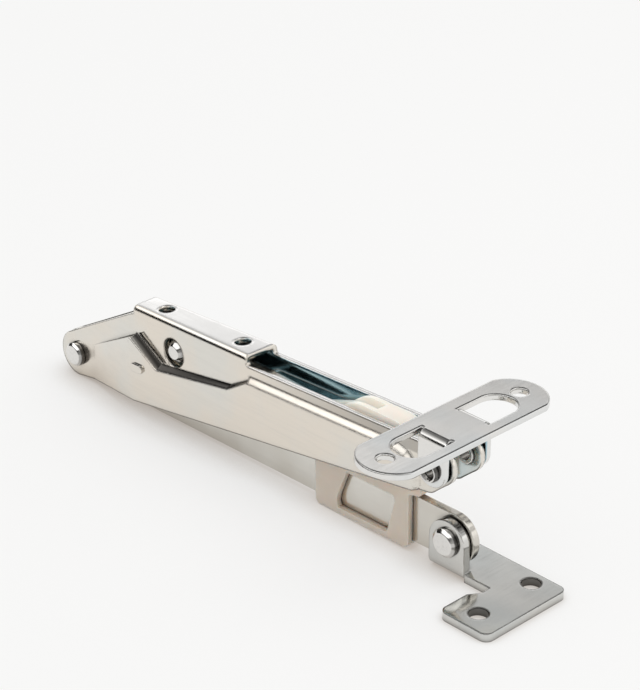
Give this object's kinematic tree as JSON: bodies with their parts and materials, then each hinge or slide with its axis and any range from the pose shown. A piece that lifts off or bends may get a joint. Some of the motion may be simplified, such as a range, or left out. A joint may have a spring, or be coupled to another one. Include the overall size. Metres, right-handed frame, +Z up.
{
  "type": "ratchet lid support",
  "caption": "Ratchet lid support: a toothed arm and a channel arm hinged at one end, with a locking strut in a plastic slider, a screw-on foot plate and a swivelling top plate.",
  "frame": {"origin": "middle of the two foot screw holes, on the underside of the foot plate", "axes": "+X along the closed arms from the main rivet to the foot plate, +Y away from the front, in the direction of the hinge rivets, +Z up out of the foot plate"},
  "size_m": [0.1881, 0.0634, 0.0422],
  "materials": {
    "foot_steel": "bright nickel-plated sheet steel",
    "arm_steel": "bright nickel-plated sheet steel",
    "channel_steel": "bright nickel-plated sheet steel, slightly warm",
    "plate_steel": "bright nickel-plated sheet steel",
    "strut_steel": "nickel-plated sheet steel",
    "rivet_steel": "bright nickel-plated steel",
    "slider_plastic": "milky translucent moulded plastic"
  },
  "bodies": {
    "foot": {"foot_plate": "foot_steel", "foot_rivet": "rivet_steel"},
    "lower_arm": {"toothed_arm": "arm_steel"},
    "upper_arm": {"channel_arm": "channel_steel", "main_rivet": "rivet_steel", "strut_rivet": "rivet_steel", "eyelet_near": "rivet_steel", "eyelet_far": "rivet_steel"},
    "slider": {"slider_body": "slider_plastic", "slider_pin": "rivet_steel"},
    "strut": {"strut": "strut_steel"},
    "lid_bracket": {"top_plate": "plate_steel"}
  },
  "joints": [
    {"name": "arm_lift", "type": "hinge", "parent": "foot", "child": "lower_arm", "pos_m": [-0.0208, 0.004, 0.0098], "axis": [0, 1, 0], "range_deg": [0, 80]},
    {"name": "main_fold", "type": "hinge", "parent": "lower_arm", "child": "upper_arm", "pos_m": [-0.17258, 0.004, 0.00734], "axis": [0, -1, 0], "range_deg": [0, 82]},
    {"name": "slider_travel", "type": "slide", "parent": "lower_arm", "child": "slider", "axis": [-0.9999, 0, -0.0162], "range_m": [0, 0.0669]},
    {"name": "strut_swing", "type": "hinge", "parent": "slider", "child": "strut", "pos_m": [-0.05595, 0.004, 0.02383], "axis": [0, 1, 0], "range_deg": [0, 27.1]},
    {"name": "bracket_swivel", "type": "hinge", "parent": "upper_arm", "child": "lid_bracket", "pos_m": [-0.02263, 0.004, 0.03227], "axis": [0, 1, 0], "range_deg": [-12, 100]}
  ],
  "couplings": [
    {"joint": "slider_travel", "follows": "main_fold", "m_per_rad": 0.046633},
    {"joint": "strut_swing", "follows": "main_fold", "ratio": 0.32856}
  ]
}
